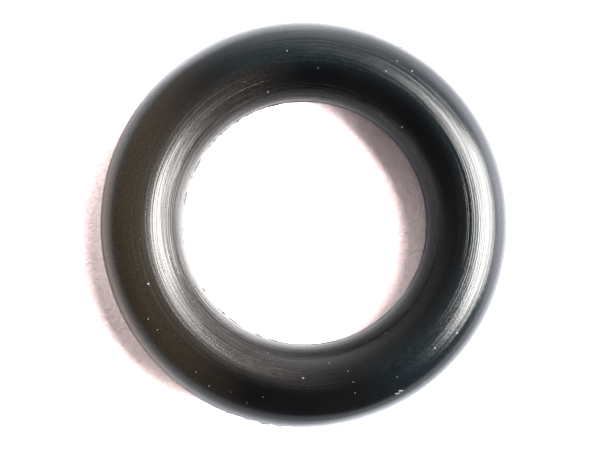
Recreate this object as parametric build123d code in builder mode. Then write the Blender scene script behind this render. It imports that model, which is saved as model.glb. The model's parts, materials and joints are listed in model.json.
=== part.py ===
from build123d import *
from math import sqrt
import os

# A moulded rubber sealing ring, lying flat, in millimetres.
# The origin is the centre of the ring on its parting plane, and +Z is the ring's axis.

# The hole that the rubber goes round, and the rubber's own round section
inside_diameter = 9.0
section_diameter = 3.0

# Flash left standing round the hole and round the rim, where the two mould halves met.
# It is trimmed to a flat crest, and widens from there to its root on the round section.
flash_height = 0.05
flash_crest_width = 0.08
flash_root_width = 0.16

section_radius = section_diameter / 2

# Middle of the section, as a distance out from the ring's axis
centre_line_radius = inside_diameter / 2 + section_radius

# How far the crest and the root of each bead lie from the middle of the section
crest_reach = section_radius + flash_height
root_reach = sqrt(section_radius**2 - (flash_root_width / 2) ** 2)

# The ring: one round section with its two flash beads, turned once about the axis
with BuildPart() as o_ring:
    with BuildSketch(Plane.XZ) as section:
        with Locations((centre_line_radius, 0)):
            Circle(section_radius)
            # A strip across the section, whose two ends stand out of it as the flash beads
            Polygon(
                (crest_reach, flash_crest_width / 2),
                (root_reach, flash_root_width / 2),
                (-root_reach, flash_root_width / 2),
                (-crest_reach, flash_crest_width / 2),
                (-crest_reach, -flash_crest_width / 2),
                (-root_reach, -flash_root_width / 2),
                (root_reach, -flash_root_width / 2),
                (crest_reach, -flash_crest_width / 2),
                align=None,
            )
    revolve(axis=Axis.Z)

o_ring.part.label = "o_ring"

os.makedirs("parts", exist_ok=True)
export_step(o_ring.part, "parts/o_ring.step")
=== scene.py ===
import bpy
import json
import math
import numpy as np
from mathutils import Matrix, Vector


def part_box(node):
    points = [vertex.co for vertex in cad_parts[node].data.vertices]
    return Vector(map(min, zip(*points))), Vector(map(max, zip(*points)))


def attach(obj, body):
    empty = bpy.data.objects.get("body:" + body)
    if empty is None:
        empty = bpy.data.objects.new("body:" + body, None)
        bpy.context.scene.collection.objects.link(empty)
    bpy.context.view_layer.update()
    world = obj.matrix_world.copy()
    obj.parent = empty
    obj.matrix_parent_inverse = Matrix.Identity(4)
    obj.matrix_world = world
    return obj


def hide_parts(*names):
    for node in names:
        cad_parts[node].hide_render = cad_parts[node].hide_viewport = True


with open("model.json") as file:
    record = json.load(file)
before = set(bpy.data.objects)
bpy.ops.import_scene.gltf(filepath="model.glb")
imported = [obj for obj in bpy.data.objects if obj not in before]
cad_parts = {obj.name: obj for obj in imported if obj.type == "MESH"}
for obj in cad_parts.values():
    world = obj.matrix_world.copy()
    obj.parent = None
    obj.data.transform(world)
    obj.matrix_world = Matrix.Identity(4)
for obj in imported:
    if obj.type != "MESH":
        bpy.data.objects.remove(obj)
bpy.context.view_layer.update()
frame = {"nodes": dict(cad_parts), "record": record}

print("frame loaded:", ", ".join(frame["nodes"]))

millimetre = 0.001
pixelsWide, pixelsHigh = 600, 450  # the photograph's frame

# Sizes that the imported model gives: the two mounts are the crests of the flash
mountRadius = {mount["name"]: mount["dims"]["r_mm"] * millimetre for mount in frame["record"]["mounts"]}
nodeLow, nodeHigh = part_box("o_ring")
centreLine = (mountRadius["inner_bore"] + mountRadius["outer_rim"]) / 2
sectionRadius = (nodeHigh[2] - nodeLow[2]) / 2
flashHeight = (mountRadius["outer_rim"] - mountRadius["inner_bore"]) / 2 - sectionRadius
floorHeight = nodeLow[2]


# Helpers for meshes


def turnSteps(count):
    # Angles at equal steps round a full turn
    return np.arange(count) * 2 * np.pi / count


def meshFromGrid(name, points):
    # points is (steps along, steps across, 3). Both directions wrap round, so the seam is closed.
    # Face corners run along, then across, which turns the faces outwards.
    along, across = points.shape[:2]
    i, j = np.meshgrid(np.arange(along), np.arange(across), indexing="ij")
    nextI, nextJ = (i + 1) % along, (j + 1) % across
    corners = [i * across + j, nextI * across + j, nextI * across + nextJ, i * across + nextJ]
    return meshFromArrays(name, points.reshape(-1, 3), np.stack(corners, axis=-1).reshape(-1, 4))


def meshFromArrays(name, points, corners):
    # points is (n, 3) and corners is (faces, corners of each face)
    mesh = bpy.data.meshes.new(name)
    faceCount, cornerCount = corners.shape
    mesh.vertices.add(len(points))
    mesh.vertices.foreach_set("co", points.astype(np.float32).ravel())
    mesh.loops.add(faceCount * cornerCount)
    mesh.loops.foreach_set("vertex_index", corners.astype(np.int32).ravel())
    mesh.polygons.add(faceCount)
    faceStarts = np.arange(0, faceCount * cornerCount, cornerCount, dtype=np.int32)
    mesh.polygons.foreach_set("loop_start", faceStarts)
    mesh.polygons.foreach_set("use_smooth", np.ones(faceCount, dtype=bool))
    mesh.update(calc_edges=True)
    mesh.validate()
    piece = bpy.data.objects.new(name, mesh)
    bpy.context.scene.collection.objects.link(piece)
    return piece


# Helpers for materials. What they multiply, add, step or mix may be numbers or other nodes' outputs.


def addNode(tree, kind, inputs=None, **settings):
    # One node, with its settings, and with values or links for its named or numbered inputs
    node = tree.nodes.new(kind)
    for key, value in settings.items():
        setattr(node, key, value)
    for key, value in (inputs or {}).items():
        if isinstance(value, bpy.types.NodeSocket):
            tree.links.new(value, node.inputs[key])
        else:
            node.inputs[key].default_value = value
    return node


def calc(tree, operation, first, second=0.0):
    # One Math node, of one value or two
    return addNode(tree, "ShaderNodeMath", {0: first, 1: second}, operation=operation).outputs[0]


def product(tree, first, *others):
    # The values multiplied together, from the first to the last
    for other in others:
        first = calc(tree, "MULTIPLY", first, other)
    return first


def total(tree, first, *others):
    # The values added together, from the first to the last
    for other in others:
        first = calc(tree, "ADD", first, other)
    return first


def lengthOf(tree, first, second):
    # The root of the sum of two squares
    return calc(tree, "SQRT", total(tree, product(tree, first, first), product(tree, second, second)))


def ramp(tree, value, low, high, toLow=0.0, toHigh=1.0):
    # A smooth step of value from toLow at low to toHigh at high
    return addNode(
        tree,
        "ShaderNodeMapRange",
        {"Value": value, "From Min": low, "From Max": high, "To Min": toLow, "To Max": toHigh},
        interpolation_type="SMOOTHSTEP",
    ).outputs["Result"]


def radiusRamp(tree, value, low, high, toLow=0.0, toHigh=1.0):
    # The same step, with low and high in radii of the ring's centre line
    return ramp(tree, value, low * centreLine, high * centreLine, toLow, toHigh)


def slantRamp(tree, across, up, slant, low, high, toLow=0.0, toHigh=1.0):
    # That step again, of the distance across plus slant times the distance up
    return radiusRamp(tree, total(tree, across, product(tree, up, slant)), low, high, toLow, toHigh)


def mixValues(tree, factor, first, second):
    # The first value where factor is 0, the second where it is 1, and a straight mix between
    return addNode(tree, "ShaderNodeMix", {0: factor, 2: first, 3: second}, data_type="FLOAT").outputs[0]


def blendColours(tree, factor, first, second):
    # The same mix, of two colours
    return addNode(tree, "ShaderNodeMix", {0: factor, 6: first, 7: second}, data_type="RGBA").outputs[2]


def scaleColour(tree, colour, share):
    # The colour with its red, green and blue times share
    return addNode(
        tree, "ShaderNodeVectorMath", {0: colour, "Scale": share}, operation="SCALE"
    ).outputs[0]


def bumpNormal(tree, height):
    # The normals of a surface that is raised by height, in millimetres
    return addNode(
        tree, "ShaderNodeBump", {"Strength": 1.0, "Distance": millimetre, "Height": height}
    ).outputs[0]


def newMaterial(name):
    # A material with an empty node tree
    material = bpy.data.materials.new(name)
    material.use_nodes = True
    material.node_tree.nodes.clear()
    return material, material.node_tree


def grainGroup():
    # Grain, which every material uses: Value is noise, and Share is a smooth step of it, from Least at
    # Low to Most at High
    tree = bpy.data.node_groups.new("grain", "ShaderNodeTree")
    for name in ("Scale", "Detail", "Low", "High", "Least", "Most"):
        tree.interface.new_socket(name, in_out="INPUT", socket_type="NodeSocketFloat")
    for name in ("Value", "Share"):
        tree.interface.new_socket(name, in_out="OUTPUT", socket_type="NodeSocketFloat")
    given = addNode(tree, "NodeGroupInput").outputs
    place = addNode(tree, "ShaderNodeTexCoord").outputs["Object"]
    inputs = {"Vector": place, "Scale": given["Scale"], "Detail": given["Detail"]}
    value = addNode(tree, "ShaderNodeTexNoise", inputs).outputs[0]
    share = ramp(tree, value, given["Low"], given["High"], given["Least"], given["Most"])
    addNode(tree, "NodeGroupOutput", {"Value": value, "Share": share})
    return tree


grainTree = grainGroup()


def addGrain(tree, size, detail, low, high, least=0.0, most=1.0):
    # The grain group in a material's tree, with features of about the given size
    inputs = {"Scale": 1 / size, "Detail": detail, "Low": low, "High": high, "Least": least, "Most": most}
    return addNode(tree, "ShaderNodeGroup", inputs, node_tree=grainTree).outputs


# Camera: it looks down on the ring from a little to the left of it and below it
cameraPlace = {
    "distance": 6.0,  # from the middle of the ring, in radii of its centre line
    "leanLeft": 3.53,  # degrees away from straight above
    "leanDown": 4.02,
    "pixelsPerRadius": 162.3,  # the centre line's radius in the photograph
    "ringCentre": (305.8, 222.0),  # where the photograph shows the middle of the ring
    "sensor": 36.0,
    "clip": (0.02, 200.0),  # nearest and farthest that it sees, as shares of its distance
}


def buildCamera():
    # The camera's place is the distance times a unit vector, whose parts to the left and down are the
    # sines of the two leans. Its axis meets the ring's plane beside the centre, which so falls on its
    # pixel, and its focal length gives the centre line the radius that the photograph shows.
    reach = cameraPlace["distance"] * centreLine
    left = math.sin(math.radians(cameraPlace["leanLeft"]))
    down = math.sin(math.radians(cameraPlace["leanDown"]))
    place = Vector((-left, -down, math.sqrt(1 - left**2 - down**2))) * reach
    unitsPerPixel = centreLine / cameraPlace["pixelsPerRadius"]
    centreX, centreY = cameraPlace["ringCentre"]
    besideX, besideY = pixelsWide / 2 - centreX, centreY - pixelsHigh / 2
    aim = Vector((besideX * unitsPerPixel, besideY * unitsPerPixel, 0))
    back = (place - aim).normalized()
    right = Vector((0, 1, 0)).cross(back).normalized()
    up = back.cross(right)
    data = bpy.data.cameras.new("camera")
    data.sensor_width = cameraPlace["sensor"]
    focalPixels = cameraPlace["pixelsPerRadius"] * cameraPlace["distance"]
    data.lens = focalPixels * data.sensor_width / pixelsWide
    nearest, farthest = cameraPlace["clip"]
    data.clip_start, data.clip_end = reach * nearest, reach * farthest
    camera = bpy.data.objects.new("camera", data)
    turn = Matrix((right, up, back)).transposed().to_4x4()
    camera.matrix_world = Matrix.Translation(place) @ turn
    bpy.context.scene.collection.objects.link(camera)
    bpy.context.scene.camera = camera
    return place, right, up, back, focalPixels


cameraAt, cameraRight, cameraUp, cameraBack, focalPixels = buildCamera()
print("camera placed")


# The rubber ring
ringShape = {
    "stepsAlong": 400,  # round the ring
    "stepsAcross": 200,  # round the section, between the two flash beads
    "stepsOnBead": 22,  # across each flash bead
    "beadHalfWidth": 0.07 * millimetre,
    "beadRoundness": 0.5,  # power of its hump: 1 is a ridge, and less is rounder
    "seed": 11,
    # Stretches of ragged flash, as (middle, half width) in degrees, anticlockwise from +X
    "innerRagged": [(178, 82)],
    "outerRagged": [(117, 26), (272, 30)],
    "raggedEnd": 12,  # degrees over which a stretch dies away at its ends
    "dashes": [(0.65, 320), (0.35, 47)],  # uneven lines that add up to them: share and waves of each
    "dashStart": 0.42,  # how high those lines stand where a dash begins
    "dashRise": 0.3,  # and how much more makes it a full one
    "tallestDash": 1.0,  # as a share of the full height
    "smoothFlash": 0.4,  # height left on the rest
    "smoothRange": (0.7, 0.6),  # least share of that height, and how much its uneven line adds
    "smoothWaves": 60,
}


def unevenLine(rng, angles, waves):
    # A line between 0 and 1 that closes on itself: random values at equal steps round the ring,
    # joined by straight lines
    knots = rng.random(waves)
    return np.interp(angles, turnSteps(waves), knots, period=2 * np.pi)


def raggedHeight(rng, angles, stretches):
    # Height of the flash round the ring, as a share of the full height. Inside a ragged stretch it
    # is short dashes with gaps between them, and elsewhere a low line of nearly even height.
    look = ringShape
    ragged = np.zeros_like(angles)
    for middle, half in stretches:
        apart = np.abs((np.degrees(angles) - middle + 180) % 360 - 180)
        ragged = np.maximum(ragged, np.clip((half - apart) / look["raggedEnd"], 0, 1))
    dashes = sum(share * unevenLine(rng, angles, waves) for share, waves in look["dashes"])
    dashes = look["tallestDash"] * np.clip((dashes - look["dashStart"]) / look["dashRise"], 0, 1)
    least, added = look["smoothRange"]
    even = look["smoothFlash"] * (least + added * unevenLine(rng, angles, look["smoothWaves"]))
    return ragged * dashes + (1 - ragged) * even


def buildRing():
    # A torus: the section angle turns about the centre line, and the ring angle about the Z axis.
    # The radius of the section is its own radius plus the two flash beads, each a smooth hump
    # about the parting plane whose height follows the ring angle.
    rng = np.random.default_rng(ringShape["seed"])
    ringAngle = turnSteps(ringShape["stepsAlong"])
    beadHalf = ringShape["beadHalfWidth"] / sectionRadius
    onBead = np.linspace(-beadHalf, beadHalf, ringShape["stepsOnBead"], endpoint=False)
    between = np.linspace(beadHalf, np.pi - beadHalf, ringShape["stepsAcross"] // 2, endpoint=False)
    sectionAngle = np.concatenate([onBead, between, onBead + np.pi, between + np.pi])
    heights = {
        0.0: raggedHeight(rng, ringAngle, ringShape["outerRagged"]),
        np.pi: raggedHeight(rng, ringAngle, ringShape["innerRagged"]),
    }
    radius = np.full((len(ringAngle), len(sectionAngle)), sectionRadius)
    for middle, height in heights.items():
        away = np.abs((sectionAngle - middle + np.pi) % (2 * np.pi) - np.pi) / beadHalf
        hump = np.clip(1 - away, 0, 1) ** ringShape["beadRoundness"]
        radius += flashHeight * height[:, None] * hump[None, :]
    out = centreLine + radius * np.cos(sectionAngle)
    points = np.stack(
        [
            out * np.cos(ringAngle)[:, None],
            out * np.sin(ringAngle)[:, None],
            radius * np.sin(sectionAngle),
        ],
        axis=-1,
    )
    return meshFromGrid("ring_rubber", points)


ring = buildRing()
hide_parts("o_ring")
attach(ring, "root")
print("ring built:", len(ring.data.polygons) * 2, "triangles")


# Dust on the ring: pale flecks, one fibre and a dark crumb of rubber
dust = {
    "seed": 5,
    # Flecks, by the pixel where the photograph shows them, with their size in pixels
    "flecks": [
        (287, 51, 1.7), (268, 92, 1.8), (307, 27, 1.5), (318, 68, 1.0), (386, 71, 1.6), (412, 71, 2.0),
        (402, 127, 1.7), (381, 115, 1.4), (341, 96, 1.8), (397, 61, 1.8), (148, 284, 3.2), (107, 255, 2.2),
        (140, 239, 1.1), (148, 319, 1.6), (157, 330, 1.4), (196, 372, 1.0), (209, 386, 1.9), (231, 392, 0.8),
        (247, 403, 1.0), (263, 397, 1.2), (268, 353, 1.1), (303, 378, 2.4), (348, 371, 1.0), (353, 382, 1.4),
        (355, 393, 1.2), (397, 377, 1.2), (435, 348, 1.5), (457, 333, 1.5), (424, 382, 1.2), (386, 333, 1.4),
        (329, 363, 1.0), (245, 82, 1.5),
    ],
    "flecksSeem": 0.88,  # their true size, as a share of the size that the blurred picture gives them
    "fleckWidths": (0.5, 0.9),  # narrowest and widest, as a share of their length
    "crumbs": [(401, 47, 2.2)],  # by pixel too
    "crumbWidth": 0.8,
    "height": 0.35,  # of a fleck's highest point, as a share of its width
    "lumps": (0.7, 1.15),  # least and most that an uneven fleck reaches out, as a share of an even one
    "rows": 3,  # of points on each fleck, between its lowest and its highest
    "rowSpan": 0.62,  # share of the half turn, from the lowest to the highest, that the rows spread over
    "sides": 8,
    "fibre": (399, 392),  # the pixel at its middle
    "fibreLength": 7.5,  # in pixels, like its width
    "fibreWidth": 0.5,
    "fibreRows": 24,
    "fibreWay": (0.96, 0.28),  # its direction: share along the ring and share across it
    "fibreWave": 5.5,  # radians of its wave from its middle to an end
    "fibreSwing": 0.42,  # how far the wave goes aside, as a share of half the length
    "raySteps": 400,  # along each ray that looks for the ring, and then halvings of the step that meets it
    "rayHalvings": 30,
}


def ringPointsAt(pixels):
    # Where the camera's ray through each pixel first meets the round section: the ray is sampled
    # from above the ring to the floor, and the first step that goes inside is halved until it is found
    pixels = np.asarray(pixels, dtype=float)
    ray = (
        np.outer(pixels[:, 0] - pixelsWide / 2, cameraRight)
        - np.outer(pixels[:, 1] - pixelsHigh / 2, cameraUp)
        - focalPixels * np.array(cameraBack)
    )
    ray /= np.linalg.norm(ray, axis=1, keepdims=True)
    start = np.array(cameraAt)

    def clearance(reach):
        # Distance from the round section, less than zero inside it
        at = start + ray * reach[:, None]
        return np.hypot(np.hypot(at[:, 0], at[:, 1]) - centreLine, at[:, 2]) - sectionRadius

    top = (cameraAt.z - sectionRadius) / -ray[:, 2]
    bottom = (cameraAt.z + sectionRadius) / -ray[:, 2]
    near, far = top.copy(), bottom.copy()
    found = np.zeros(len(ray), dtype=bool)
    for share in np.linspace(0, 1, dust["raySteps"]):
        reach = top + (bottom - top) * share
        inside = (clearance(reach) < 0) & ~found
        far[inside] = reach[inside]
        near[~found & ~inside] = reach[~found & ~inside]
        found |= inside
    for halving in range(dust["rayHalvings"]):
        middle = (near + far) / 2
        inside = clearance(middle) < 0
        far = np.where(inside, middle, far)
        near = np.where(inside, near, middle)
    return start + ray * far[:, None]


def surfaceAxes(points):
    # At each point of the round section: the way along the ring, the way across it and the way out
    ringAngle = np.arctan2(points[:, 1], points[:, 0])
    centre = centreLine * np.stack([np.cos(ringAngle), np.sin(ringAngle), 0 * ringAngle], axis=-1)
    out = points - centre
    out /= np.linalg.norm(out, axis=1, keepdims=True)
    along = np.stack([-np.sin(ringAngle), np.cos(ringAngle), 0 * ringAngle], axis=-1)
    return along, np.cross(out, along), out


def blobFaces(rows, sides):
    # Faces of one blob whose vertices are rows of sides each, then the lowest and the highest point.
    # All are triangles, so that the rows and the two ends go into one array.
    i, j = np.meshgrid(np.arange(rows - 1), np.arange(sides), indexing="ij")
    nextJ = (j + 1) % sides
    a, b = i * sides + j, i * sides + nextJ
    c, d = a + sides, b + sides
    side = np.arange(sides)
    nextSide = (side + 1) % sides
    lowest, highest, last = rows * sides, rows * sides + 1, (rows - 1) * sides
    corners = [
        (a, b, d),
        (a, d, c),
        (nextSide, side, np.full(sides, lowest)),
        (last + side, last + nextSide, np.full(sides, highest)),
    ]
    return np.concatenate([np.stack(three, -1).reshape(-1, 3) for three in corners])


def fleckFaces(number, count):
    # Faces of a number of flecks of count vertices each
    faces = blobFaces(dust["rows"], dust["sides"])
    return (faces[None] + (np.arange(number) * count)[:, None, None]).reshape(-1, 3)


def fleckPoints(rng, places, lengths, widths):
    # Each fleck is an ellipsoid pressed onto the surface: length and width lie in it, turned by a
    # random angle, and the height stands out of it. Random lumps make each one irregular.
    along, across, out = surfaceAxes(places)
    turn = rng.uniform(0, np.pi, len(places))[:, None]
    first = along * np.cos(turn) + across * np.sin(turn)
    second = across * np.cos(turn) - along * np.sin(turn)
    rows, sideAngle = dust["rows"], turnSteps(dust["sides"])
    rise = np.linspace(-0.5, 0.5, rows) * np.pi * dust["rowSpan"]
    lumps = rng.uniform(*dust["lumps"], (len(places), rows, dust["sides"]))
    level = np.cos(rise)[None, :, None] * lumps
    x = level * np.cos(sideAngle) * lengths[:, None, None] / 2
    y = level * np.sin(sideAngle) * widths[:, None, None] / 2
    z = np.sin(rise)[None, :, None] * np.ones_like(lumps) * widths[:, None, None] * dust["height"]
    body = (
        places[:, None, None, :]
        + x[..., None] * first[:, None, None, :]
        + y[..., None] * second[:, None, None, :]
        + z[..., None] * out[:, None, None, :]
    ).reshape(len(places), -1, 3)
    tall = out * (widths * dust["height"])[:, None]
    return np.concatenate([body, (places - tall)[:, None, :], (places + tall)[:, None, :]], axis=1)


def fibrePoints(unit):
    # A thread that lies on the surface along a shallow wave. Each of its rows is a ring of points
    # about the wave, and its two ends close in a point.
    place = ringPointsAt([dust["fibre"]])
    along, across, out = [axis[0] for axis in surfaceAxes(place)]
    share = np.linspace(-1, 1, dust["fibreRows"])
    half, thick = dust["fibreLength"] * unit / 2, dust["fibreWidth"] * unit / 2
    wayAlong, wayAcross = dust["fibreWay"]
    swing = np.sin(share * dust["fibreWave"]) * half * dust["fibreSwing"]
    middle = (
        place
        + np.outer(share * half, along * wayAlong + across * wayAcross)
        + np.outer(swing, across * wayAlong - along * wayAcross)
        + out * thick
    )
    way = np.gradient(middle, axis=0)
    way /= np.linalg.norm(way, axis=1, keepdims=True)
    side = np.cross(way, out)
    sideAngle = turnSteps(dust["sides"])
    rings = (
        middle[:, None, :]
        + thick * np.cos(sideAngle)[None, :, None] * side[:, None, :]
        + thick * np.sin(sideAngle)[None, :, None] * out
    )
    ends = np.stack([middle[0] - way[0] * thick, middle[-1] + way[-1] * thick])
    return np.concatenate([rings.reshape(-1, 3), ends])


def buildDust():
    # The flecks, each a blob at its own pixel's place on the ring, and the fibre, in one mesh
    rng = np.random.default_rng(dust["seed"])
    unit = centreLine / cameraPlace["pixelsPerRadius"]
    listed = np.array(dust["flecks"])
    lengths = listed[:, 2] * unit * dust["flecksSeem"]
    widths = lengths * rng.uniform(*dust["fleckWidths"], len(lengths))
    flecks = fleckPoints(rng, ringPointsAt(listed[:, :2]), lengths, widths)
    number, count = flecks.shape[:2]
    fibreFaces = blobFaces(dust["fibreRows"], dust["sides"]) + number * count
    points = np.concatenate([flecks.reshape(-1, 3), fibrePoints(unit)])
    return meshFromArrays("dust_specks", points, np.concatenate([fleckFaces(number, count), fibreFaces]))


def buildCrumbs():
    # Dark crumbs, made as the flecks are
    rng = np.random.default_rng(dust["seed"] + 1)
    listed = np.array(dust["crumbs"])
    lengths = listed[:, 2] * centreLine / cameraPlace["pixelsPerRadius"]
    crumbs = fleckPoints(rng, ringPointsAt(listed[:, :2]), lengths, lengths * dust["crumbWidth"])
    return meshFromArrays("rubber_crumbs", crumbs.reshape(-1, 3), fleckFaces(*crumbs.shape[:2]))


specks = buildDust()
crumbs = buildCrumbs()
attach(specks, "root")
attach(crumbs, "root")
print("dust laid on:", len(specks.data.polygons), "triangles")


# Rubber. In this dictionary and the next ones a smooth step is written as the two places between which
# it changes, and then what it changes from and to, unless that is from 0 to 1. A place over the ring is
# in radii of its centre line, and a place on the section is the cosine of the section angle, which is
# 1 at the rim and -1 at the hole. A slanted step starts with how much the distance up counts beside the
# distance across. A grain is written as its size, its detail and the smooth step of its noise.
rubberLook = {
    "dark": (0.0020, 0.0024, 0.0030, 1),
    "worn": (0.0046, 0.0047, 0.0050, 1),
    "wornPatches": (2.5 * millimetre, 3.0, 0.35, 0.7),
    "leftSide": (0.1, -0.6),  # where the ring's right side turns into its left
    # Colours laid over the rubber, two painted reflections and a greyish film, each with its slanted step
    # over the ring, its steps on the section and whether fine spots break it up
    # fine spots break it up
    "paintedSheenAndFilms": [
        {
            "colour": (0.052, 0.038, 0.024, 1),  # painted warm reflection, brownish, on the left
            "overRing": (0.1, -0.4, -1.0),
            "onSection": [(-0.1, 0.45, 0.6, 1.0)],
            "spotted": False,
        },
        {
            "colour": (0.0105, 0.0195, 0.0235, 1),  # painted cool reflection, bluish, broken up into fine dust spots, on the right and outer slope
            "overRing": (0.5, -0.28, 0.28),
            "onSection": [(-0.45, 0.0), (0.9, 0.45)],
            "spotted": True,
        },
        {
            "colour": (0.037, 0.031, 0.027, 1),  # greyish, on the slope to the hole, left and below
            "overRing": (0.15, 0.15, -0.5),
            "onSection": [(0.1, -0.4)],
            "spotted": True,
        },
    ],
    "spots": (0.042 * millimetre, 1.0, 0.3, 0.7, 0.1, 1.3),  # how much of an overlay they let through
    "ior": 1.6,
    "specular": 0.85,
    "anisotropic": 0.7,
    "glossTurn": 0.25,  # a quarter turn, which lays the wide side of the gloss across the marks
    "roughness": (0.155, 0.20),  # on the right and on the left
    # Patterns that run round the ring, each as how fast it changes along the ring, how many features
    # fit round the section over two pi, its detail, and the roughness of that detail
    "marks": (0.7, 34.0, 2.0, 0.6),  # the mould's turning marks
    "markStretches": (0.7, 6.8, 2.0, 0.5),  # where they are strong or weak
    "grooves": (0.7, 24.0, 1.0, 0.5),  # fewer, deeper marks
    "lines": (1.12, 27.2, 1.0, 0.6),  # rougher lines among them
    "stretchStep": (0.3, 0.65, 0.35, 1.0),
    "grooveStep": (0.50, 0.60),
    "lineStep": (0.5, 0.65),
    "linesOnSection": (-0.2, 0.5, 1.0, 0.3),
    "linesRight": 0.3,  # their share on the right of the ring
    "lineRoughness": 0.10,  # how much rougher they are than the rubber between them
    "markDepth": 0.018 * millimetre,
    "grooveDepth": 0.0075 * millimetre,
    # Share of those depths on the section, on each side of the ring and towards the rim
    "marksLeft": (-0.6, -0.05, 1.3, 0.12),
    "marksRight": (-0.38, 0.2, 0.3, 0.76),
    "marksRim": (0.3, 0.55, 1.0, 0.3),
    "grain": (0.05 * millimetre, 2.0, 0.3, 0.7, 0.7, 1.3),  # its step is the share of the colour left
    "grainDepth": 0.005 * millimetre,
    "grainLeft": 0.5,  # share of the grain's depth on the left, where the marks are strong
    "flattened": 0.06,  # slope that the section's inner side is flatter by, on the left
    # The flash's colours are painted light: a pale colour for the window's light on it, and darker patches
    # of painted shade
    "paintedLitFlash": (0.46, 0.455, 0.45, 1),
    "shadedFlash": (0.15, 0.15, 0.15, 1),
    "flashPatches": (0.12 * millimetre, 1.0, 0.4, 0.6),  # from the painted shade colour to the painted lit one
    "flashRoot": (-0.1, -0.35, 0.42, 0.05),  # share of its height that is as dark as the rubber
    "flashEdge": 0.15,  # share of its height over which it pales
}


def ringPlaceGroup():
    # Place on the ring, for patterns that run round it with no seam. The ring angle's cosine and sine
    # are scaled by Along, and those of the section angle by Across; the last one goes to a noise's W.
    tree = bpy.data.node_groups.new("ringPlace", "ShaderNodeTree")
    for name, value in (("Centre Line", centreLine), ("Along", 1.0), ("Across", 1.0)):
        socket = tree.interface.new_socket(name, in_out="INPUT", socket_type="NodeSocketFloat")
        socket.default_value = value
    for name, kind in (("Vector", "Vector"), ("W", "Float"), ("Out", "Float"), ("Size", "Float")):
        tree.interface.new_socket(name, in_out="OUTPUT", socket_type="NodeSocket" + kind)
    given = addNode(tree, "NodeGroupInput").outputs
    place = addNode(tree, "ShaderNodeTexCoord").outputs["Object"]
    x, y, z = addNode(tree, "ShaderNodeSeparateXYZ", {0: place}).outputs
    reach = lengthOf(tree, x, y)
    out = calc(tree, "SUBTRACT", reach, given["Centre Line"])
    size = lengthOf(tree, out, z)
    outShare, upShare = calc(tree, "DIVIDE", out, size), calc(tree, "DIVIDE", z, size)
    vector = addNode(
        tree,
        "ShaderNodeCombineXYZ",
        {
            0: product(tree, calc(tree, "DIVIDE", x, reach), given["Along"]),
            1: product(tree, calc(tree, "DIVIDE", y, reach), given["Along"]),
            2: product(tree, outShare, given["Across"]),
        },
    ).outputs[0]
    w = product(tree, upShare, given["Across"])
    addNode(tree, "NodeGroupOutput", {"Vector": vector, "W": w, "Out": outShare, "Size": size})
    return tree


ringPlace = ringPlaceGroup()


def ringNoise(tree, along, across, detail, roughness):
    # Noise that is stretched along the ring, with features of its own length and width
    place = addNode(tree, "ShaderNodeGroup", {"Along": along, "Across": across}, node_tree=ringPlace)
    inputs = {"Vector": place.outputs["Vector"], "W": place.outputs["W"], "Scale": 1.0}
    inputs.update({"Detail": detail, "Roughness": roughness})
    return addNode(tree, "ShaderNodeTexNoise", inputs, noise_dimensions="4D").outputs[0]


def rubberColour(tree, across, up, section, grain):
    # Dark and worn rubber, mixed by a grain, under three overlays: a painted warm reflection on the left, a
    # painted cool reflection broken up by dust spots, and a greyish film.
    # Each overlay's share is its slanted step times its steps on the section. The grain then speckles it,
    # and the flash has its own colours, a painted highlight with painted shaded patches, where it stands
    # higher than its root.
    look = rubberLook
    worn = addGrain(tree, *look["wornPatches"])["Share"]
    colour = blendColours(tree, worn, look["dark"], look["worn"])
    spots = addGrain(tree, *look["spots"])["Share"]
    for overlay in look["paintedSheenAndFilms"]:
        share = slantRamp(tree, across, up, *overlay["overRing"])
        for places in overlay["onSection"]:
            share = product(tree, share, ramp(tree, section["Out"], *places))
        if overlay["spotted"]:
            share = product(tree, share, spots)
        colour = blendColours(tree, share, colour, overlay["colour"])
    colour = scaleColour(tree, colour, grain["Share"])
    tall = calc(tree, "DIVIDE", calc(tree, "SUBTRACT", section["Size"], sectionRadius), flashHeight)
    aboveRoot = calc(tree, "SUBTRACT", tall, radiusRamp(tree, across, *look["flashRoot"]))
    patches = addGrain(tree, *look["flashPatches"])["Share"]
    flash = blendColours(tree, patches, look["shadedFlash"], look["paintedLitFlash"])
    return blendColours(tree, ramp(tree, aboveRoot, 0.0, look["flashEdge"]), colour, flash)


def rubberRoughness(tree, onLeft, section):
    # The gloss of each side, plus the rougher lines by their share on the section and on each side
    look = rubberLook
    lines = product(
        tree,
        ramp(tree, ringNoise(tree, *look["lines"]), *look["lineStep"]),
        ramp(tree, section["Out"], *look["linesOnSection"]),
        mixValues(tree, onLeft, look["linesRight"], 1.0),
    )
    smooth = mixValues(tree, onLeft, *look["roughness"])
    return total(tree, smooth, product(tree, lines, look["lineRoughness"]))


def rubberHeight(tree, onLeft, section, grain):
    # In millimetres: the marks less the grooves, times their share at each place, plus the grain, plus
    # a slope on the left that makes the section's inner side flatter
    look = rubberLook
    marksRight = ramp(tree, section["Out"], *look["marksRight"])
    marksLeft = ramp(tree, section["Out"], *look["marksLeft"])
    strength = product(
        tree,
        ramp(tree, ringNoise(tree, *look["markStretches"]), *look["stretchStep"]),
        mixValues(tree, onLeft, marksRight, marksLeft),
        ramp(tree, section["Out"], *look["marksRim"]),
    )
    marks = product(tree, ringNoise(tree, *look["marks"]), look["markDepth"] / millimetre)
    grooves = ramp(tree, ringNoise(tree, *look["grooves"]), *look["grooveStep"])
    grooves = product(tree, grooves, look["grooveDepth"] / millimetre)
    marks = product(tree, calc(tree, "SUBTRACT", marks, grooves), strength)
    rough = product(
        tree,
        grain["Value"],
        look["grainDepth"] / millimetre,
        mixValues(tree, onLeft, 1.0, look["grainLeft"]),
    )
    inner = calc(tree, "MINIMUM", section["Out"], 0.0)
    slope = product(tree, inner, onLeft, -look["flattened"] * sectionRadius / millimetre)
    return total(tree, marks, rough, slope)


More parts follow.
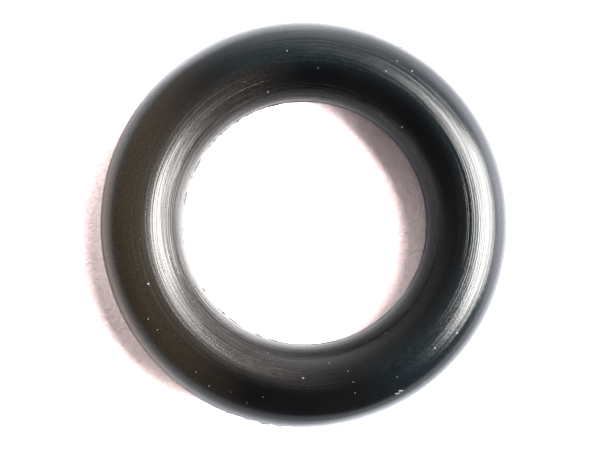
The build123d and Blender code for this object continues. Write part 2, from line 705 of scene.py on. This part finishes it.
def rubberMaterial():
    # Black rubber whose gloss is drawn out across the mould marks, since its tangent runs round the ring
    material, tree = newMaterial("rubberBlack")
    look = rubberLook
    place = addNode(tree, "ShaderNodeTexCoord").outputs["Object"]
    across, up = addNode(tree, "ShaderNodeSeparateXYZ", {0: place}).outputs[:2]
    section = addNode(tree, "ShaderNodeGroup", node_tree=ringPlace).outputs
    onLeft = radiusRamp(tree, across, *look["leftSide"])
    grain = addGrain(tree, *look["grain"])
    shader = addNode(
        tree,
        "ShaderNodeBsdfPrincipled",
        {
            "Base Color": rubberColour(tree, across, up, section, grain),
            "Roughness": rubberRoughness(tree, onLeft, section),
            "IOR": look["ior"],
            "Specular IOR Level": look["specular"],
            "Anisotropic": look["anisotropic"],
            "Anisotropic Rotation": look["glossTurn"],
            "Normal": bumpNormal(tree, rubberHeight(tree, onLeft, section, grain)),
            "Tangent": addNode(tree, "ShaderNodeTangent", direction_type="RADIAL", axis="Z").outputs[0],
        },
    )
    addNode(tree, "ShaderNodeOutputMaterial", {"Surface": shader.outputs[0]})
    return material


# Dust
dustLook = {
    "pale": ((0.30, 0.29, 0.27, 1), (0.86, 0.86, 0.83, 1)),  # darkest and palest
    "crumb": ((0.008, 0.008, 0.008, 1), (0.02, 0.02, 0.02, 1)),
    "patches": (0.4 * millimetre, 2.0, 0.35, 0.65),  # from the darkest colour to the palest
    "roughness": 0.9,
}


def dustMaterial(name, darkest, palest):
    # A dull surface that a grain mixes from two colours
    material, tree = newMaterial(name)
    patches = addGrain(tree, *dustLook["patches"])["Share"]
    colour = blendColours(tree, patches, darkest, palest)
    inputs = {"Base Color": colour, "Roughness": dustLook["roughness"]}
    shader = addNode(tree, "ShaderNodeBsdfPrincipled", inputs)
    addNode(tree, "ShaderNodeOutputMaterial", {"Surface": shader.outputs[0]})
    return material


ring.data.materials.append(rubberMaterial())
specks.data.materials.append(dustMaterial("dustPale", *dustLook["pale"]))
crumbs.data.materials.append(dustMaterial("crumbDark", *dustLook["crumb"]))
print("materials made")


# Floor: white paper that clips to white where it is fully lit, and keeps the ring's shadow, with painted
# light and shade laid on that shadow and a painted reflection for the ring to mirror
floorLook = {
    "halfWidth": 150 * millimetre,
    "plain": (0.82, 0.82, 0.82, 1),
    "grain": (0.11 * millimetre, 1.0, 0.1, 0.9, 0.76, 1.24),  # its step is the share of the colour left
    "grainDepth": 0.022 * millimetre,
    "underRing": (0.8, 1.2),  # where the paper in the hole turns into the paper outside
    # How the camera sees the paper
    "seen": (6.4, 5.15, 5.1),
    "paintedLightTopOfHole": 1.9,  # painted light: share of that at the top of the hole, which lightens the shadow there, and the steps across and up to it
    "topAcross": (0.5, 0.15),
    "topUp": (0.4, 0.7),
    "paintedShadowOutside": (1.25, 1.38, 1.3, 0.9),  # painted shade: share in the shadow beside the ring and past its end
    "holeEdge": (0.95, 1.0),
    # Painted reflection: how brightly the ring mirrors the paper in the hole, by the distance from the axis,
    # and the painted shade on that from the hole's upper right to its lower left
    "inHole": (0.4, 0.75, 0.10, 0.53),
    "holeShade": (0.7, 0.6, -0.6, 2.4, 0.15),
    # And the painted reflection outside: beside the ring, then farther out from below to above
    "nearRing": 2.3,
    "farStep": (1.4, 2.5),
    "farOut": (-2.0, 1.0, 0.65, 1.38),
    "towardsWindow": (0.3, 1.5, 1.0, 0.5),  # shares of both, on three sides
    "awayFromWindow": (0.5, -0.2, -1.1, 1.0, 0.47),
    "belowRing": (-0.9, -1.5, 1.0, 0.92),
    # The paper's painted tint where the ring mirrors it
    "cool": (0.92, 0.98, 1.10, 1),
    "coolAbove": (0.945, 0.985, 1.065, 1),
    "coolStep": (0.6, 1.5),
    "warm": (1.15, 0.96, 0.91, 1),
    "warmAcross": (-0.5, -1.3),
    "warmUp": [(1.3, 0.2), (-1.6, -0.9)],
    "tintInHole": (1.0, 0.97, 1.07, 1),
    "tintStep": (1.1, 0.8),
    # Sheen towards the window: outside the ring, then in the hole towards its lower side, the share that
    # is left on its upper right, and the share at its middle, above and below the centre
    "sheenOutside": 0.40,
    "sheenInHole": (0.1, -0.5, 1.1, 1.485),
    "sheenFade": (0.7, -0.6, -0.1, 1.0, 0.95),
    "sheenMiddle": (0.0, -0.4, 0.55, 1.25),
    "sheenEdge": 1.08,  # and along its edge
    "sheenEdgeStep": (0.45, 0.62),
    "sheenTint": ((0.99, 0.985, 1.01, 1), (0.965, 0.985, 1.045, 1)),  # in the hole and outside it
    "sheenRoughness": (0.47, 0.70),
}


def paintedMirroredPaper(tree, across, up, reach):
    # The paper as the ring mirrors it, a painted reflection: a tint times a brightness, both painted by
    # place. In the hole the brightness is a step by the distance from the axis times a slanted one; outside
    # it goes from the near value to the far one, times its share on three sides.
    look = floorLook
    inHole = radiusRamp(tree, reach, *look["inHole"])
    inHole = product(tree, inHole, slantRamp(tree, across, up, *look["holeShade"]))
    farOut = radiusRamp(tree, up, *look["farOut"])
    outside = mixValues(tree, radiusRamp(tree, reach, *look["farStep"]), look["nearRing"], farOut)
    sides = product(
        tree,
        radiusRamp(tree, across, *look["towardsWindow"]),
        slantRamp(tree, across, up, *look["awayFromWindow"]),
        radiusRamp(tree, up, *look["belowRing"]),
    )
    outside = product(tree, outside, sides)
    bright = mixValues(tree, radiusRamp(tree, reach, *look["underRing"]), inHole, outside)
    warm = radiusRamp(tree, across, *look["warmAcross"])
    for places in look["warmUp"]:
        warm = product(tree, warm, radiusRamp(tree, up, *places))
    tint = blendColours(tree, radiusRamp(tree, up, *look["coolStep"]), look["cool"], look["coolAbove"])
    tint = blendColours(tree, warm, tint, look["warm"])
    tint = blendColours(tree, radiusRamp(tree, reach, *look["tintStep"]), tint, look["tintInHole"])
    return scaleColour(tree, tint, bright)


def seenPaper(tree, across, up, reach):
    # The paper as the camera sees it: one bright colour times a share that paints light and shade on it. The
    # share rises towards the top of the hole, lightening the shadow there, and changes again in the shadow
    # outside it.
    look = floorLook
    top = product(
        tree, radiusRamp(tree, across, *look["topAcross"]), radiusRamp(tree, up, *look["topUp"])
    )
    share = mixValues(tree, top, 1.0, look["paintedLightTopOfHole"])
    outside = radiusRamp(tree, reach, *look["paintedShadowOutside"])
    share = mixValues(tree, radiusRamp(tree, reach, *look["holeEdge"]), share, outside)
    return scaleColour(tree, look["seen"], share)


def paperSheen(tree, across, up, reach, isMirrored):
    # The paper's sheen towards the window, which only the ring mirrors: a tint times a share, which in
    # the hole is the product of three steps
    look = floorLook
    isOutside = radiusRamp(tree, reach, *look["underRing"])
    middle = radiusRamp(tree, up, *look["sheenMiddle"])
    middle = mixValues(tree, radiusRamp(tree, reach, *look["sheenEdgeStep"]), middle, look["sheenEdge"])
    inHole = product(
        tree,
        slantRamp(tree, across, up, *look["sheenFade"]),
        radiusRamp(tree, up, *look["sheenInHole"]),
        middle,
    )
    share = product(tree, isMirrored, mixValues(tree, isOutside, inHole, look["sheenOutside"]))
    colour = scaleColour(tree, blendColours(tree, isOutside, *look["sheenTint"]), share)
    roughness = mixValues(tree, isOutside, *look["sheenRoughness"])
    return addNode(tree, "ShaderNodeBsdfAnisotropic", {"Color": colour, "Roughness": roughness}).outputs[0]


def paperMaterial():
    # Fine-grained paper with three colours: one for the camera's rays, with painted light and shade in the
    # ring's shadow;
    # one for those that the ring mirrors, a painted reflection; and the plain one, which lights the ring
    material, tree = newMaterial("paperWhite")
    look = floorLook
    place = addNode(tree, "ShaderNodeTexCoord").outputs["Object"]
    across, up = addNode(tree, "ShaderNodeSeparateXYZ", {0: place}).outputs[:2]
    reach = lengthOf(tree, across, up)
    rays = addNode(tree, "ShaderNodeLightPath").outputs
    isMirrored = calc(tree, "MAXIMUM", rays["Is Glossy Ray"], rays["Is Transmission Ray"])
    colour = blendColours(tree, isMirrored, look["plain"], paintedMirroredPaper(tree, across, up, reach))
    colour = blendColours(tree, rays["Is Camera Ray"], colour, seenPaper(tree, across, up, reach))
    grain = addGrain(tree, *look["grain"])
    colour = scaleColour(tree, colour, grain["Share"])
    bump = bumpNormal(tree, product(tree, grain["Value"], look["grainDepth"] / millimetre))
    paper = addNode(tree, "ShaderNodeBsdfDiffuse", {"Color": colour, "Normal": bump}).outputs[0]
    sheen = paperSheen(tree, across, up, reach, isMirrored)
    shader = addNode(tree, "ShaderNodeAddShader", {0: paper, 1: sheen})
    addNode(tree, "ShaderNodeOutputMaterial", {"Surface": shader.outputs[0]})
    return material


def buildFloor():
    # One square under the ring's lowest line
    half = floorLook["halfWidth"]
    corners = np.array([[-half, -half], [half, -half], [half, half], [-half, half]])
    points = np.column_stack([corners, np.full(len(corners), floorHeight)])
    floor = meshFromArrays("floor", points, np.array([[0, 1, 2, 3]]))
    floor.data.materials.append(paperMaterial())


buildFloor()


# Light: one broad window to the right, and a dim room round it
windowLight = {
    "distance": 200 * millimetre,
    "colour": (1.0, 0.980, 0.955),
    # Bands of the window, each as its lowest and highest degrees above the floor, the degrees of its
    # middle anticlockwise from +X, how wide it looks from the ring, and its brightness
    "bands": [
        (9.0, 21.0, 5.0, 36.0, 1.0),
        (21.0, 36.0, 3.0, 40.0, 10.3),
        (36.0, 52.0, 3.0, 43.0, 13.5),
        (28.0, 54.0, -27.0, 12.0, 2.9),
        (52.0, 62.0, 15.0, 34.0, 12.8),
        (62.0, 70.0, 26.0, 26.0, 8.5),
    ],
}

# The room's light, with the smooth steps of each glow: the axis of the direction that it is seen in, and
# then the step along it
roomLight = {
    "dim": (0.035, 0.036, 0.040, 1),
    "white": (1, 1, 1, 1),  # what the camera sees past the floor
    "warm": (0.06, 0.05, 0.04, 1),  # towards -X
    "warmSteps": [("X", -0.3, -0.9), ("Y", -0.7, 0.0)],
    "far": (1.15, 1.18, 1.20),  # towards +Y
    "farSteps": [("Y", -0.2, 0.9), ("X", -0.7, 0.2, 0.3, 1.0), ("X", 0.15, 0.55, 1.0, 0.6)],
    "farHeight": (0.0, 0.8, 1.3, 0.27),  # its share near the floor and overhead
    "glow": (2.0, 2.1, 2.35, 1),  # low beside the window
    "glowSteps": [("X", 0.1, 0.9), ("Z", 0.25, 0.03), ("Y", -0.6, 0.0)],
    "horizon": (0.16, 0.17, 0.19, 1),  # low on the other side
    "horizonSteps": [("Z", 0.55, 0.05), ("X", 0.4, -0.2), ("Y", -0.5, 0.5, 0.35, 1.0)],
}


def buildWindow():
    # One flat lamp for each band, square to the line from the ring, whose sides are twice the distance
    # times the tangent of half the angle that it fills
    distance = windowLight["distance"]
    for number, (lowest, highest, bearing, across, brightness) in enumerate(windowLight["bands"]):
        bearing, height = math.radians(bearing), math.radians((lowest + highest) / 2)
        level = math.cos(height)
        toBand = Vector((math.cos(bearing) * level, math.sin(bearing) * level, math.sin(height)))
        data = bpy.data.lights.new("window" + str(number), "AREA")
        data.shape = "RECTANGLE"
        data.size = 2 * distance * math.tan(math.radians(across / 2))
        data.size_y = 2 * distance * math.tan(math.radians((highest - lowest) / 2))
        data.color = windowLight["colour"]
        # A flat lamp's power is pi times its area times the brightness that it shows
        data.energy = math.pi * data.size * data.size_y * brightness
        lamp = bpy.data.objects.new(data.name, data)
        lamp.location = toBand * distance
        lamp.rotation_euler = toBand.to_track_quat("Z", "Y").to_euler()
        bpy.context.scene.collection.objects.link(lamp)


def glowShare(tree, way, steps):
    # The product of a glow's smooth steps
    return product(tree, *(ramp(tree, way[axis], *places) for axis, *places in steps))


def buildRoom():
    # The dim room with its glows laid over it one after another. Each is a colour times its share, and
    # the horizon's is also times what the far glow leaves.
    look = roomLight
    world = bpy.data.worlds.new("room")
    bpy.context.scene.world = world
    world.use_nodes = True
    tree = world.node_tree
    tree.nodes.clear()
    direction = addNode(tree, "ShaderNodeTexCoord").outputs["Generated"]
    way = addNode(tree, "ShaderNodeSeparateXYZ", {0: direction}).outputs
    warm = glowShare(tree, way, look["warmSteps"])
    far = glowShare(tree, way, look["farSteps"])
    farColour = scaleColour(tree, look["far"], ramp(tree, way["Z"], *look["farHeight"]))
    glow = glowShare(tree, way, look["glowSteps"])
    horizon = glowShare(tree, way, look["horizonSteps"])
    horizon = product(tree, horizon, calc(tree, "SUBTRACT", 1.0, far))
    colour = blendColours(tree, warm, look["dim"], look["warm"])
    colour = blendColours(tree, far, colour, farColour)
    colour = blendColours(tree, glow, colour, look["glow"])
    colour = blendColours(tree, horizon, colour, look["horizon"])
    rays = addNode(tree, "ShaderNodeLightPath").outputs
    colour = blendColours(tree, rays["Is Camera Ray"], colour, look["white"])
    shader = addNode(tree, "ShaderNodeBackground", {"Color": colour, "Strength": 1.0})
    addNode(tree, "ShaderNodeOutputWorld", {"Surface": shader.outputs[0]})


buildWindow()
buildRoom()
bpy.context.scene.view_settings.view_transform = "Standard"
print("floor and light set")
